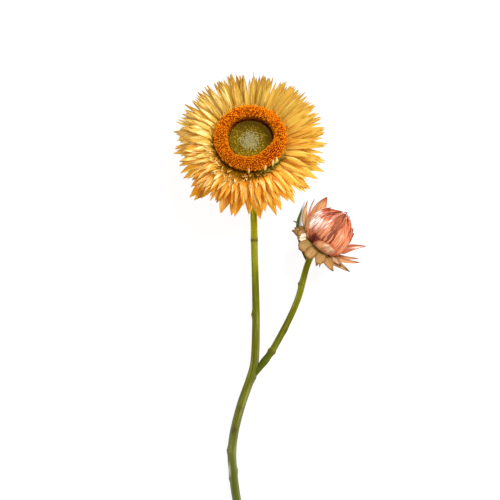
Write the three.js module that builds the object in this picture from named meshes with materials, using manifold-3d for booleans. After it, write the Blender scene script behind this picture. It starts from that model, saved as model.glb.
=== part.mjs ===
// A dried strawflower, cut and laid down: one open bloom and one bud on a forked stem.
// Millimetres, +Z up. The flower lies on the plane z = 0 with its bloom towards +Y and its cut end
// towards -Y. The origin is the centre of the footprint on that plane.

import * as THREE from "three";
import { mergeVertices } from "three/addons/utils/BufferGeometryUtils.js";
import Module from "manifold-3d";

const wasm = await Module();
wasm.setup();

const { degToRad, lerp, smoothstep } = THREE.MathUtils;
const { PI, abs, cos, exp, max, sin } = Math;
const UP = new THREE.Vector3(0, 0, 1);

// ---- Driving dimensions ----

const FOOTPRINT_CENTRE = [8.2, -19.4]; // of the layout below, which counts from the middle of the spray
const GOLDEN_ANGLE = 137.508;
const SEAT_GAP = 0.3; // between pieces that rest on each other
const BLADE = 0.6; // thickness of every bract and leaf along its rib
const FINEST_EDGE = 0.005; // slivers under this are taken out of a fused body

// Centre of the bloom at the level of its bracts, and how far its face leans to +Y.
const BLOOM = { at: [0.1, 42.8, 11.4], tilt: 26 };
const GOLDEN_BRACTS = 178;
const RECEPTACLE = { rim: 13.6, floor: -2.9, deck: 0.6 };
const SCALES = { rows: 3, perRow: 12 };
const COLLAR = { foot: -5.3, footRadius: 2.6, radius: 9.0 };
const RING = { inner: 9.2, outer: 14.5, crest: 6.1, columns: 80 };
const CENTRE = { radius: 8.6, dip: 1.3, rim: 3.0, columns: 50 };

const BUD = { at: [28.2, 3.1, 9.0], heading: 48, lift: 16.5 }; // the foot of the bud, and its axis
const BUD_COLLAR = { foot: -4.0, footRadius: 1.7, radius: 7.0, rim: -0.8 };
const BUD_LENGTH = 14.5;

// Middle line of the main stem, from the back of the bloom to the cut, and of the side branch.
const STEM_ROUTE = [
  [0.1, 40.1, 6.1],
  [0.1, 38.6, 4.2],
  [0.3, 35.6, 3.0],
  [0.9, 28.0, 2.4],
  [1.5, 13.6, 2.4],
  [1.9, -4.0, 2.5],
  [2.3, -18.0, 2.6],
  [2.4, -28.0, 2.6],
  [2.0, -40.0, 2.5],
  [1.2, -46.4, 2.4],
  [-0.4, -52.4, 2.4],
  [-3.8, -63.0, 2.3],
  [-6.3, -73.0, 2.2],
  [-7.2, -80.6, 2.1],
  [-7.1, -86.5, 2.0],
  [-6.4, -93.0, 1.8],
  [-5.2, -101.0, 1.7],
  [-3.8, -108.0, 1.7],
];
const BRANCH_ROUTE = [
  [-0.2, -51.8, 2.4],
  [4.2, -46.7, 2.6],
  [7.2, -42.8, 2.9],
  [9.0, -40.2, 3.1],
  [14.6, -30.0, 4.0],
  [17.7, -23.4, 4.7],
  [19.8, -17.8, 5.3],
  [21.2, -12.4, 6.0],
  [22.8, -6.5, 6.9],
  [24.3, -2.6, 7.5],
  [25.3, -0.3, 7.7],
];
const STEM = { top: 1.4, foot: 1.8, neckFlare: 0.7, step: 2.9, sides: 8 };
const BRANCH = { fork: 1.35, top: 1.25, step: 2.8, sides: 8 };

// Swellings on a stem: place along it in mm from its top, side it bulges to (or all round), height.
const STEM_NODES = [
  { along: 37.5, height: 0.14 },
  { along: 67.0, height: 0.5, side: [-1, 0, 0.3] },
  { along: 96.0, height: 0.45, side: [1, -0.4, 0.2] },
  { along: 121.0, height: 0.3, side: [-0.4, 0, 1] },
  { along: 134.0, height: 0.55, side: [-1, 0, 0.3] },
  { along: 142.5, height: 0.4, side: [1, 0, 0.3] },
];
const BRANCH_NODES = [
  { along: 9.5, height: 0.3 },
  { along: 14.5, height: 0.35 },
  { along: 30.5, height: 0.4, side: [1, -0.4, 0.3] },
  { along: 43.5, height: 0.5, side: [-1, 0.4, 0.2] },
];
const LEAF_ROUTE = [
  [23.4, -5.2, 6.6],
  [21.8, -1.4, 4.2],
  [20.4, 4.0, 2.4],
  [19.6, 10.4, 2.6],
  [20.7, 14.8, 3.2],
  [22.0, 20.0, 4.2],
];
const LEAF_WIDTH = 2.2;

// Outer bracts of the bud: angle round its axis from the top, lean at the root and at the tip (0 is
// straight out from the axis, 90 is along it), length and width.
const RUFF = [
  [8, -30, -80, 6.6, 6.0],
  [38, -20, -58, 7.2, 4.6],
  [64, -5, -34, 8.0, 4.8],
  [80, 8, -6, 8.4, 3.6],
  [87, 6, 2, 11.2, 4.0],
  [96, 18, 42, 12.2, 3.0],
  [105, 16, 34, 12.8, 2.8],
  [130, 0, -36, 7.4, 4.6],
  [156, -34, -76, 7.2, 4.8],
  [181, -54, -86, 7.4, 5.2],
  [206, -34, -76, 7.2, 4.8],
  [226, 0, -40, 5.4, 4.4],
  [257, 18, 62, 10.8, 3.6],
  [268, 20, 76, 14.0, 2.4],
  [278, 8, 98, 15.2, 1.8],
  [292, 10, 100, 11.4, 4.2],
  [298, 4, -34, 6.4, 4.6],
  [317, -12, -58, 6.4, 4.8],
  [339, -26, -74, 6.8, 5.2],
];

// Inner bracts that stand off the bud: angle, lean at the root and at the tip, length and width.
const LOOSE_BRACTS = [
  [232, 58, 84, 14.0, 4.2],
  [105, 62, 40, 12.4, 3.2],
  [262, 70, 86, 12.0, 1.8],
];

// ---- Helpers ----

/** A repeatable draw from 0 to 1 for item i and use k. */
function draw(i, k) {
  const x = sin(i * 12.9898 + k * 78.233) * 43758.5453;
  return x - Math.floor(x);
}

/** A repeatable draw from -1 to 1. */
const swing = (i, k) => 2 * draw(i, k) - 1;

const vector = ([x, y, z]) => new THREE.Vector3(x, y, z);

/** Closed geometry through four-point rings that turn right-handed about the way they advance, ending
 * in a point where tip is given. Neighbouring quads are split the opposite way, so that both faces of
 * a blade are split alike. */
function loft(rings, tip) {
  const sides = rings[0].length;
  const points = rings.flat();
  const faces = [];
  for (let k = 1; k < sides - 1; k++) faces.push(0, k + 1, k);
  for (let r = 0; r < rings.length - 1; r++) {
    for (let k = 0; k < sides; k++) {
      const a = r * sides + k;
      const b = r * sides + ((k + 1) % sides);
      if (k % 2 === 0) faces.push(a, b, b + sides, a, b + sides, a + sides);
      else faces.push(a, b, a + sides, b, b + sides, a + sides);
    }
  }
  const last = (rings.length - 1) * sides;
  if (tip) {
    points.push(tip);
    for (let k = 0; k < sides; k++) faces.push(last + k, last + ((k + 1) % sides), points.length - 1);
  } else {
    for (let k = 1; k < sides - 1; k++) faces.push(last, last + k, last + k + 1);
  }
  return new THREE.BufferGeometry().setFromPoints(points).setIndex(faces);
}

/** The geometry as a manifold-3d solid. */
function solid(geometry) {
  const bare = geometry.clone();
  bare.deleteAttribute("normal");
  bare.deleteAttribute("uv");
  const merged = mergeVertices(bare, 1e-4);
  return new wasm.Manifold(
    new wasm.Mesh({
      numProp: 3,
      vertProperties: new Float32Array(merged.attributes.position.array),
      triVerts: new Uint32Array(merged.index.array),
    }),
  );
}

/** Several geometries fused into one, without the slivers that are finer than FINEST_EDGE. */
function fuse(geometries) {
  const whole = wasm.Manifold.union(geometries.map(solid)).simplify(FINEST_EDGE);
  const body = whole.decompose().sort((a, b) => b.volume() - a.volume())[0];
  const mesh = body.getMesh();
  return new THREE.BufferGeometry()
    .setAttribute("position", new THREE.BufferAttribute(mesh.vertProperties, 3))
    .setIndex(new THREE.BufferAttribute(mesh.triVerts, 1));
}

/** The frame of a flower head: x and y across it, z out of its face. */
function headFrame(at, x, z) {
  const side = x.clone().normalize();
  const out = z.clone().normalize();
  return new THREE.Matrix4().makeBasis(side, out.clone().cross(side), out).setPosition(vector(at));
}

/** One bract, as a four-point blade with its edges raised by fold. It bends evenly from one lean to
 * the other, where lean 0 is straight out from the head's axis and 90 is along it. What would go
 * through the surface that the flower lies on is pressed flat, at the height rest above it. */
function bract(frame, { angle, radius, height, lean, length, width, fold, twist, shape, rest = 0 }) {
  const station = (s) => {
    const turn = degToRad(angle + shape.drift * s * s);
    const bend = degToRad(lerp(lean[0], lean[1], s));
    const out = new THREE.Vector3(cos(turn), sin(turn), 0);
    const along = out.clone().multiplyScalar(cos(bend)).addScaledVector(UP, sin(bend));
    const face = UP.clone().multiplyScalar(cos(bend)).addScaledVector(out, -sin(bend));
    const side = face.clone().cross(along);
    const roll = degToRad(twist * s);
    const across = side.clone().multiplyScalar(cos(roll)).addScaledVector(face, sin(roll));
    const normal = face.multiplyScalar(cos(roll)).addScaledVector(side, -sin(roll));
    return { out, along, across, normal };
  };
  const steps = 12;
  const middle = [new THREE.Vector3(0, 0, height).addScaledVector(station(0).out, radius)];
  for (let i = 0; i < steps; i++) {
    const { along } = station((i + 0.5) / steps);
    middle.push(middle[i].clone().addScaledVector(along, length / steps));
  }
  const line = new THREE.CatmullRomCurve3(middle);
  const press = (point, least = 0) => point.setZ(max(point.z, least + rest));
  const rings = shape.stations.map(([s, share]) => {
    const { across, normal } = station(s);
    const centre = line.getPoint(s);
    const half = (width / 2) * share;
    const [left, right] = [1, -1].map((sign) =>
      centre
        .clone()
        .addScaledVector(across, sign * half * cos(fold))
        .addScaledVector(normal, half * sin(fold))
        .applyMatrix4(frame),
    );
    const [inner, outer] = [1, -1].map((sign) =>
      centre.clone().addScaledVector(normal, (sign * BLADE) / 2).applyMatrix4(frame),
    );
    const upper = inner.z > outer.z ? inner : outer;
    press(upper, BLADE);
    return [press(left), press(inner), press(right), press(outer)];
  });
  return loft(rings, press(line.getPoint(1).applyMatrix4(frame)));
}

// ---- Stem ----

/** A stem along its route, with a radius for each place and swellings where leaves grew. */
function stalk(route, { sides, step }, radiusAt, nodes) {
  const line = new THREE.CatmullRomCurve3(route.map(vector), false, "centripetal");
  const total = line.getLength();
  const steps = Math.round(total / step);
  const section = new THREE.Shape(
    Array.from({ length: sides }, (_, k) => {
      const turn = ((k + 0.5) * 2 * PI) / sides;
      return new THREE.Vector2(cos(turn), sin(turn));
    }),
  );
  const tube = new THREE.ExtrudeGeometry(section, { steps, extrudePath: line, bevelEnabled: false });
  const centres = line.getSpacedPoints(steps);
  const position = tube.getAttribute("position");
  const point = new THREE.Vector3();
  for (let i = 0; i < position.count; i++) {
    point.fromBufferAttribute(position, i);
    const distances = centres.map((centre) => centre.distanceTo(point));
    const place = distances.indexOf(Math.min(...distances));
    const out = point.clone().sub(centres[place]).normalize();
    const along = (place / steps) * total;
    let radius = radiusAt(place / steps, along);
    for (const node of nodes) {
      const facing = node.side ? max(0, out.dot(vector(node.side).normalize())) : 1;
      radius += node.height * facing * exp(-(((along - node.along) / 1.5) ** 2));
    }
    point.copy(centres[place]).addScaledVector(out, radius);
    position.setXYZ(i, point.x, point.y, max(point.z, 0));
  }
  return tube;
}

/** The one small leaf that is left, a channelled blade from the branch just under the bud. */
function leaf() {
  const line = new THREE.CatmullRomCurve3(LEAF_ROUTE.map(vector), false, "centripetal");
  const shares = [0, 0.3, 0.55, 0.8];
  const rings = shares.map((s) => {
    const centre = line.getPointAt(s);
    const along = line.getTangentAt(s);
    const across = UP.clone().cross(along).normalize();
    const normal = along.clone().cross(across);
    const half = (LEAF_WIDTH / 2) * lerp(0.55, 1, sin(PI * (s + 0.1)));
    const edge = (sign) =>
      centre.clone().addScaledVector(across, sign * half).addScaledVector(normal, half * 0.5);
    const rib = (sign) => centre.clone().addScaledVector(normal, (sign * BLADE) / 2);
    return [edge(1), rib(1), edge(-1), rib(-1)];
  });
  return loft(rings, line.getPointAt(1));
}

function stem() {
  const mainRadius = (share, along) =>
    lerp(STEM.top, STEM.foot, smoothstep(share, 0.25, 0.7)) + STEM.neckFlare * exp(-along / 1.6);
  const branchRadius = (share) => lerp(BRANCH.fork, BRANCH.top, share);
  return fuse([
    stalk(STEM_ROUTE, STEM, mainRadius, STEM_NODES),
    stalk(BRANCH_ROUTE, BRANCH, branchRadius, BRANCH_NODES),
    leaf(),
  ]);
}

// ---- Bloom ----

const bloomTilt = degToRad(BLOOM.tilt);
const bloomFrame = headFrame(
  BLOOM.at,
  new THREE.Vector3(1, 0, 0),
  new THREE.Vector3(0, sin(bloomTilt), cos(bloomTilt)),
);

// Share of its length and share of its width for each place along a blade, before its point.
const BRACT_SHAPE = [
  [0, 0.34],
  [0.48, 1],
  [0.8, 0.74],
];
const SCALE_SHAPE = [
  [0, 0.8],
  [0.62, 1],
];
const RUFF_SHAPE = [
  [0, 0.75],
  [0.5, 1],
  [0.85, 0.66],
];

/** A body of revolution about a head's axis, from [radius, height] pairs that start and end on it. */
function turned(profile, segments) {
  const points = profile.map(([r, h]) => new THREE.Vector2(r, h));
  return new THREE.LatheGeometry(points, segments).rotateX(PI / 2);
}

/** Lean, length, width and root of a golden bract by its age: 0 is the innermost and 1 the outermost. */
function goldenBract(i, count) {
  const age = i / (count - 1);
  const angle = i * GOLDEN_ANGLE + 5 * swing(i, 1);
  const high = sin(degToRad(angle));
  const narrow = cos(degToRad(angle - 140));
  const lift = 5 * high - 1.2 * high ** 2 + 2.5 * swing(i, 2);
  return {
    angle,
    radius: lerp(12.9, 9.6, age),
    height: lerp(0.1, -2.3, age),
    lean: [lerp(50, 6, age ** 0.9) + lift * 0.4, lerp(22, -5, age ** 0.8) + lift * 1.3],
    length: (lerp(8.5, 21, age ** 0.5) - 1.0 * high) * (1 + 0.06 * swing(i, 3)),
    width: lerp(2.4, 4.5, age ** 0.8) * (1 - 0.22 * high + 0.12 * swing(i, 4)),
    fold: 0.225 + 0.16 * narrow + 0.06 * swing(i, 5),
    twist: 9 * swing(i, 6),
    shape: { stations: BRACT_SHAPE, drift: 3 * swing(i, 7) },
  };
}

function bloomBracts() {
  const { rim, floor, deck } = RECEPTACLE;
  const core = turned(
    [
      [0, floor],
      [COLLAR.radius, floor],
      [rim - 1.4, -1.4],
      [rim + 0.4, 0.2],
      [rim - 1.0, deck],
      [0, deck],
    ],
    24,
  ).applyMatrix4(bloomFrame);
  const blades = Array.from({ length: GOLDEN_BRACTS }, (_, i) =>
    bract(bloomFrame, goldenBract(i, GOLDEN_BRACTS)),
  );
  return fuse([core, ...blades]);
}

/** Short scales that overlap like tiles from the stem outwards, on the back of the bloom. */
function bloomBackScales() {
  const { foot, footRadius, radius } = COLLAR;
  const top = RECEPTACLE.floor - SEAT_GAP;
  const core = turned(
    [
      [0, foot],
      [footRadius, foot],
      [radius - 2.2, top - 0.9],
      [radius - 0.6, top],
      [0, top],
    ],
    20,
  ).applyMatrix4(bloomFrame);
  const blades = [];
  for (let row = 0; row < SCALES.rows; row++) {
    for (let k = 0; k < SCALES.perRow; k++) {
      const i = row * SCALES.perRow + k;
      blades.push(
        bract(bloomFrame, {
          angle: ((k + 0.5 * (row % 2)) * 360) / SCALES.perRow + 4 * swing(i, 11),
          radius: 2.6 + 1.9 * row,
          height: foot + 0.4 + 0.66 * row,
          lean: [8 - 4 * row, 3 - 2 * row + 2 * swing(i, 12)],
          length: 5.6 + 0.9 * row + 0.4 * swing(i, 13),
          width: 2.6 + 0.9 * row,
          fold: 0.12,
          twist: 5 * swing(i, 14),
          shape: { stations: SCALE_SHAPE, drift: 0 },
        }),
      );
    }
  }
  return fuse([core, ...blades]);
}

/** A body of revolution whose skin rises in small florets: of the points in the rows from first to
 * last every second one stands out along the normal, and the ones between sink in. The quads are split
 * between sunken points, so that each floret stands alone. */
function floretBody(profile, columns, first, last, height) {
  const geometry = turned(profile, columns);
  const rows = profile.length;
  const position = geometry.getAttribute("position");
  const normal = geometry.getAttribute("normal");
  const faces = [];
  for (let c = 0; c <= columns; c++) {
    for (let r = 0; r < rows; r++) {
      const at = c * rows + r;
      const raised = (c + r) % 2 === 0;
      if (r >= first && r <= last) {
        const rise = raised ? height : -height;
        position.setXYZ(
          at,
          position.getX(at) + rise * normal.getX(at),
          position.getY(at) + rise * normal.getY(at),
          position.getZ(at) + rise * normal.getZ(at),
        );
      }
      if (c === columns || r === rows - 1) continue;
      const [a, b, across, d] = [at, at + rows, at + rows + 1, at + 1];
      if (raised) faces.push(a, b, d, across, d, b);
      else faces.push(a, b, across, a, across, d);
    }
  }
  return geometry.setIndex(faces).applyMatrix4(bloomFrame);
}

function openFlorets() {
  const { inner, outer, crest, columns } = RING;
  const seat = RECEPTACLE.deck + SEAT_GAP;
  const middle = (inner + outer) / 2;
  const profile = [
    [inner, seat],
    [outer - 2.6, seat],
    [outer - 1.4, 2.2],
    [outer - 0.4, 3.4],
    [outer, 4.6],
    [outer - 0.8, 5.6],
    [middle + 0.9, crest],
    [inner + 1.8, crest - 0.3],
    [inner + 0.8, crest - 1.2],
    [inner + 0.2, crest - 2.5],
    [inner, seat],
  ];
  return floretBody(profile, columns, 3, 8, 0.22);
}

function closedFlorets() {
  const { radius, dip, rim, columns } = CENTRE;
  const seat = RECEPTACLE.deck + SEAT_GAP;
  const profile = [
    [0, seat],
    [radius, seat],
    [radius, rim - 0.3],
  ];
  const rows = 6;
  for (let r = 0; r <= rows; r++) {
    const share = 1 - r / rows;
    profile.push([radius * 0.97 * share, rim - dip * (1 - share ** 2)]);
  }
  return floretBody(profile, columns, 3, rows + 1, 0.13);
}

// ---- Bud ----

const budHeading = degToRad(BUD.heading);
const budLift = degToRad(BUD.lift);
const budAxis = new THREE.Vector3(
  cos(budHeading) * cos(budLift),
  sin(budHeading) * cos(budLift),
  sin(budLift),
);
const budTop = UP.clone().addScaledVector(budAxis, -UP.dot(budAxis));
const budFrame = headFrame(BUD.at, budTop, budAxis);

/** Radius of the closed bud at a share of its length. */
const budRadius = (share) => 8.3 * (1 - abs(share - 0.36) ** 2.3 * 2.0) + 0.5 * share;

/** A bract that lies on the round of the bud and follows it to its free tip. Off is how far its edges
 * stand out from the bud's core, and its root is a wedge that reaches into that core. */
function huggingBract({ angle, reach, width, off, twist, flare }) {
  const stations = [
    [0, 0.7, 2.4],
    [0.45, 1, 2.0],
    [0.78, 0.74, 0.9],
  ];
  const at = (share, turn, out) => {
    const along = share * reach;
    const radius = budRadius(along) + off + out + flare * share ** 3;
    return new THREE.Vector3(
      radius * cos(turn),
      radius * sin(turn),
      along * BUD_LENGTH - 0.2,
    ).applyMatrix4(budFrame);
  };
  const rings = stations.map(([share, part, depth]) => {
    const turn = degToRad(angle + twist * share);
    const half = (width * part) / 2 / budRadius(share * reach);
    const edges = [at(share, turn - half, 0), at(share, turn + half, 0)];
    return [at(share, turn, -depth), edges[0], at(share, turn, 0.4), edges[1]];
  });
  return loft(rings, at(1, degToRad(angle + twist), 0));
}

function budBracts() {
  const profile = [[0, -0.5]];
  for (let k = 0; k <= 6; k++) {
    const share = k / 7;
    profile.push([budRadius(share), share * BUD_LENGTH - 0.5]);
  }
  profile.push([0, BUD_LENGTH * 0.93]);
  const pieces = [turned(profile, 16).applyMatrix4(budFrame)];
  const rows = [
    { count: 8, reach: 0.9, width: 6.6, off: 0.7, flare: 0.2 },
    { count: 8, reach: 1.02, width: 5.6, off: 0.35, flare: 0.5 },
    { count: 7, reach: 1.1, width: 4.2, off: 0, flare: 0.4 },
  ];
  rows.forEach((row, r) => {
    for (let k = 0; k < row.count; k++) {
      const i = 40 * r + k;
      pieces.push(
        huggingBract({
          angle: ((k + 0.5 * (r % 2)) * 360) / row.count + 7 * swing(i, 21),
          reach: row.reach * (1 + 0.04 * swing(i, 22)),
          width: row.width * (1 + 0.08 * swing(i, 23)),
          off: row.off + 0.08 * swing(i, 24),
          twist: 9 * swing(i, 25),
          flare: row.flare * (1 + 0.5 * swing(i, 26)),
        }),
      );
    }
  });
  for (const [angle, root, tip, length, width] of LOOSE_BRACTS) {
    const lean = [root, tip];
    const shape = { stations: BRACT_SHAPE, drift: 0 };
    pieces.push(
      bract(budFrame, { angle, radius: 7.4, height: 1.4, lean, length, width, fold: 0.2, twist: 0, shape }),
    );
  }
  return fuse(pieces);
}

function budOuterBracts() {
  const { foot, footRadius, radius, rim } = BUD_COLLAR;
  const core = turned(
    [
      [0, foot],
      [footRadius, foot],
      [radius - 1.2, rim - 1.3],
      [radius, rim],
      [0, rim],
    ],
    20,
  ).applyMatrix4(budFrame);
  const blades = RUFF.map(([angle, root, tip, length, width], i) =>
    bract(budFrame, {
      angle,
      radius: radius - 0.9,
      height: rim - 0.85,
      lean: [root, tip],
      length,
      width,
      fold: 0.16,
      twist: 8 * swing(i, 32),
      shape: { stations: RUFF_SHAPE, drift: 0 },
      rest: 0.03 * ((i + 3) % 4),
    }),
  );
  return fuse([core, ...blades]);
}

// ---- Materials and assembly ----

/** One named piece of the flower. */
function piece(name, geometry, color, roughness) {
  const material = new THREE.MeshStandardMaterial({ color, roughness, metalness: 0 });
  const mesh = new THREE.Mesh(geometry, material);
  mesh.name = name;
  return mesh;
}

const flower = new THREE.Group();
flower.add(
  piece("stem", stem(), 0x7c8020, 0.6),
  piece("bloom_bracts", bloomBracts(), 0xe8ab3c, 0.5),
  piece("bloom_back_scales", bloomBackScales(), 0xc08f48, 0.6),
  piece("open_florets", openFlorets(), 0xe07808, 0.8),
  piece("closed_florets", closedFlorets(), 0x8a8022, 0.85),
  piece("bud_bracts", budBracts(), 0xdf9073, 0.5),
  piece("bud_outer_bracts", budOuterBracts(), 0xb98c50, 0.6),
);
flower.position.set(-FOOTPRINT_CENTRE[0], -FOOTPRINT_CENTRE[1], 0);

export default flower;
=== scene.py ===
from math import atan2, cos, degrees, exp, floor, hypot, pi, radians, sin, sqrt

import bmesh
import bpy
from mathutils import Matrix, Vector, noise


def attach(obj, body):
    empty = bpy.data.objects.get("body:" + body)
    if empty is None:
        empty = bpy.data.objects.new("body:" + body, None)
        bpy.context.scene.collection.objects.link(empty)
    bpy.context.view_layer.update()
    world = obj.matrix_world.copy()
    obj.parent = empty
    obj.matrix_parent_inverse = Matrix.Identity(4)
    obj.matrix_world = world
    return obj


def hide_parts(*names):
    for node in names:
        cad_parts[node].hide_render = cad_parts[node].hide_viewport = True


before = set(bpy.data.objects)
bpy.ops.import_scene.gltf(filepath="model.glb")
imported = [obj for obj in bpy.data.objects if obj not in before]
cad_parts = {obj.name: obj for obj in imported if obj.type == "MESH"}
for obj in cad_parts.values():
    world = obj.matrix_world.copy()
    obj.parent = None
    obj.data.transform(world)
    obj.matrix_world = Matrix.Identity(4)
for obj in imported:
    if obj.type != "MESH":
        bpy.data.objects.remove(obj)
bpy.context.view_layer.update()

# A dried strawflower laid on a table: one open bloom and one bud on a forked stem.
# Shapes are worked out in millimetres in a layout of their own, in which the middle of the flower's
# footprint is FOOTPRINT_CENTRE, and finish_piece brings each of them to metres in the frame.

FOOTPRINT_CENTRE = (8.2, -19.4)
GOLDEN_ANGLE = 137.508
UP = Vector((0, 0, 1))
PAPER = 0.16  # thickness of a dried bract
ABOVE_TABLE = 0.12  # least height of a bract's middle over what it rests on

BLOOM_AT, BLOOM_TILT = (0.1, 42.8, 11.4), 26
GOLDEN_BRACTS, SLIM_BRACTS, SHORT_BRACTS, FRINGE_BRACTS = 178, 300, 170, 100
RECEPTACLE_RIM, RECEPTACLE_FLOOR, RECEPTACLE_DECK = 13.6, -2.9, 0.6
COLLAR_FOOT, COLLAR_FOOT_RADIUS, COLLAR_RADIUS = -5.3, 2.6, 9.0
RING_INNER, RING_OUTER, RING_CREST = 9.2, 14.5, 6.1
CENTRE_RADIUS, CENTRE_DIP, CENTRE_RIM = 8.6, 1.3, 3.0
CENTRE_FLORETS = 1300
BRACT_BATCH, FLORET_BATCH = 50, 130  # how many are built before they are joined to the rest
# First item number for the draws of each kind of bract and scale.
BACK_ITEMS, RUFF_ITEMS, FOOT_ITEMS = 600, 700, 760
SLIM_ITEMS, SHORT_ITEMS, ODD_ITEMS, FRINGE_ITEMS = 1000, 2000, 2300, 3000
FLORET_ROW_STEP, FLORET_SPACING = 0.53, 0.56

BUD_AT, BUD_HEADING, BUD_LIFT = (28.2, 3.1, 9.0), 48, 16.5
BUD_COLLAR_FOOT, BUD_COLLAR_FOOT_RADIUS, BUD_COLLAR_RADIUS, BUD_COLLAR_RIM = -4.0, 1.7, 7.0, -0.8
BUD_LENGTH, BUD_RADIUS, BUD_WIDEST = 14.5, 8.3, 0.36

STEM_RADII, BRANCH_RADII = (1.4, 1.8), (1.35, 1.25)
STEM_STEP = 1.1  # length of one turn of faces along a stem
SKIN = 0.03  # how far the skin of a stem lies inside its radius, to leave room for its ribs

STEM_ROUTE = [
    (0.1, 40.1, 6.1), (0.1, 38.6, 4.2), (0.3, 35.6, 3.0), (0.9, 28.0, 2.4), (1.5, 13.6, 2.4),
    (1.9, -4.0, 2.5), (2.3, -18.0, 2.6), (2.4, -28.0, 2.6), (2.2, -40.0, 2.5), (1.6, -46.4, 2.4),
    (-0.1, -52.4, 2.4), (-3.8, -63.0, 2.3), (-6.3, -73.0, 2.2), (-7.2, -80.6, 2.1),
    (-7.1, -86.5, 2.0), (-6.4, -93.0, 1.8), (-5.2, -101.0, 1.7), (-3.8, -108.0, 1.7),
]
BRANCH_ROUTE = [
    (-0.2, -51.8, 2.4), (4.2, -46.7, 2.6), (7.2, -42.8, 2.9), (9.0, -40.2, 3.1), (14.6, -30.0, 4.0),
    (17.7, -23.4, 4.7), (19.8, -17.8, 5.3), (21.2, -12.4, 6.0), (22.8, -6.5, 6.9), (24.3, -2.6, 7.5),
    (25.3, -0.3, 7.7),
]
LEAF_ROUTE = [
    (23.4, -5.2, 6.6), (21.8, -1.4, 4.2), (20.4, 4.0, 2.4), (19.6, 10.4, 2.6), (20.7, 14.8, 3.2),
    (22.0, 20.0, 4.2),
]
LEAF_WIDTH = 2.2

# Swellings of a stem: mm from its top, height, side it bulges to (None for all round), half length.
STEM_NODES = [
    (37.5, 0.14, None, 0.8), (67.3, 0.45, (-1, 0, 0.3), 1.2), (92.3, 0.5, (1, -0.4, 0.2), 1.8),
    (123.2, 0.5, (-1, 0, 0.2), 1.2), (131.3, 0.45, (1, 0, 0.3), 1.4), (134.2, 0.3, (-1, 0, 0.3), 0.8),
]
BRANCH_NODES = [
    (9.5, 0.25, None, 1.8), (14.2, 0.42, None, 0.9), (24.2, 0.18, (1, -0.4, 0.3), 1.5),
    (44.1, 0.45, (-1, 0.4, 0.2), 0.9),
]

# Outer bracts of the bud: angle from the top, lean at the root and at the tip, length, width, roll,
# form, how pale, how bright, how warm.
RUFF = [
    (-1, -40, -80, 5.9, 4.9, 0, "round", 0.1, 0.3, 0.3),
    (26, -28, -32, 7.4, 4.5, 28, "square", 0.2, 0.0, 0.4),
    (50, -24, 5, 8.4, 4.1, 50, "point", 0.3, 0.3, 0.6),
    (66, 4, 12, 6.8, 1.8, 60, "point", 0.9, 0.6, 0.9),
    (69, 0, 21, 11.0, 4.2, 60, "spear", 0.3, 0.2, 0.5),
    (84, 4, -2, 5.0, 2.6, 50, "point", 0.5, 0.8, 0.9),
    (130, 0, -36, 7.4, 4.6, 0, "point", 0.2, 0.5, 0.5),
    (156, -34, -76, 7.2, 4.8, 0, "round", 0.1, 0.3, 0.3),
    (181, -54, -86, 7.4, 5.2, 0, "round", 0.2, 0.6, 0.6),
    (206, -34, -76, 7.2, 4.8, 0, "square", 0.1, 0.4, 0.2),
    (226, 0, -40, 5.4, 4.4, 0, "round", 0.3, 0.3, 0.5),
    (262, 30, 66, 12.8, 2.3, -70, "long", 0.5, 1.0, 0.4),
    (287, -8, -17, 5.1, 4.8, -60, "square", 0.0, 0.0, 0.0),
    (301, -8, 4, 5.6, 3.8, -55, "square", 0.3, 0.2, 0.0),
    (318, -14, -20, 5.0, 4.8, -50, "square", 1.3, 0.9, 0.0),
    (337, -26, -44, 6.9, 4.6, -33, "round", 0.1, 0.0, 0.0),
]
# Peach bracts that stand out between the ruff and the bud: angle, leans, length, width, root radius
# and height, roll.
PEACH_BRACTS = [
    (236, 54, 84, 13.6, 5.7, 7.4, 1.4, -45),
    (98, 12, 42, 12.3, 2.0, 6.4, -1.5, 65),
    (104, 18, 42, 11.4, 1.8, 6.4, -1.2, 65),
]
# Inner bracts that stand off the bud: angle, leans, length, width, roll.
LOOSE_BRACTS = [(100, 62, 42, 12.3, 3.9, 65), (274, 44, 78, 12.6, 1.1, -75)]
# Tips that stand off the bud: angle, share of its length that they reach, width, how far they stand off.
FREE_TIPS = [
    (86, 0.88, 2.0, 2.2), (66, 0.99, 2.2, 1.9), (48, 1.1, 2.4, 1.3), (292, 1.12, 2.6, 1.2),
    (262, 0.96, 1.4, 1.8), (12, 1.06, 2.2, 0.9), (110, 0.92, 2.0, 1.6), (320, 1.0, 2.2, 0.8),
]
# Rows of the bud's closed bracts from the outermost in: how many, share of its length that they reach,
# width, how far off its skin they lie, flare of their tips.
BUD_ROWS = [
    (13, 0.84, 3.9, 0.75, 0.6), (15, 0.93, 3.5, 0.58, 0.8), (15, 0.99, 3.1, 0.4, 0.9),
    (14, 1.04, 2.8, 0.22, 0.8), (12, 1.09, 2.5, 0.07, 0.8), (10, 1.14, 2.0, -0.08, 0.8),
]
# Sepals that lie against the bud: angle, share of its length that they reach, width, twist.
SEPALS = [(306, 0.56, 5.4, -34), (12, 0.36, 7.6, 12)]
# Rows of small scales on the back of the bud's foot: how many, radius, height, width.
FOOT_ROWS = [(7, 1.7, -4.1, 2.5), (10, 3.1, -3.3, 2.9), (12, 4.5, -2.7, 3.2)]
# Rows of scales on the back of the bloom: how many.
BACK_ROWS = (12, 13, 14, 15)


TABLE_HALF_SIDE, TABLE_DROP, TABLE_GLOW = 3.0, 0.0002, 0.88  # metres, metres, strength
WORLD_LIGHT = 0.45
# Lights: name, azimuth, elevation, distance, size, power, colour.
LIGHTS = [
    ("key", 50, 48, 1.2, 0.5, 14.2, (1.0, 0.98, 0.95)),
    ("fill", 185, 50, 1.2, 0.9, 2.8, (0.98, 0.99, 1.0)),
]
SENSOR = 36.0  # mm
# Middle and width of the picture, and how far off the camera is, in metres.
MIDDLE, FIELD, DISTANCE = Vector((-0.0082, 0.0194, 0.010)), 0.200, 2.0


# ---- Numbers ----


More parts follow.
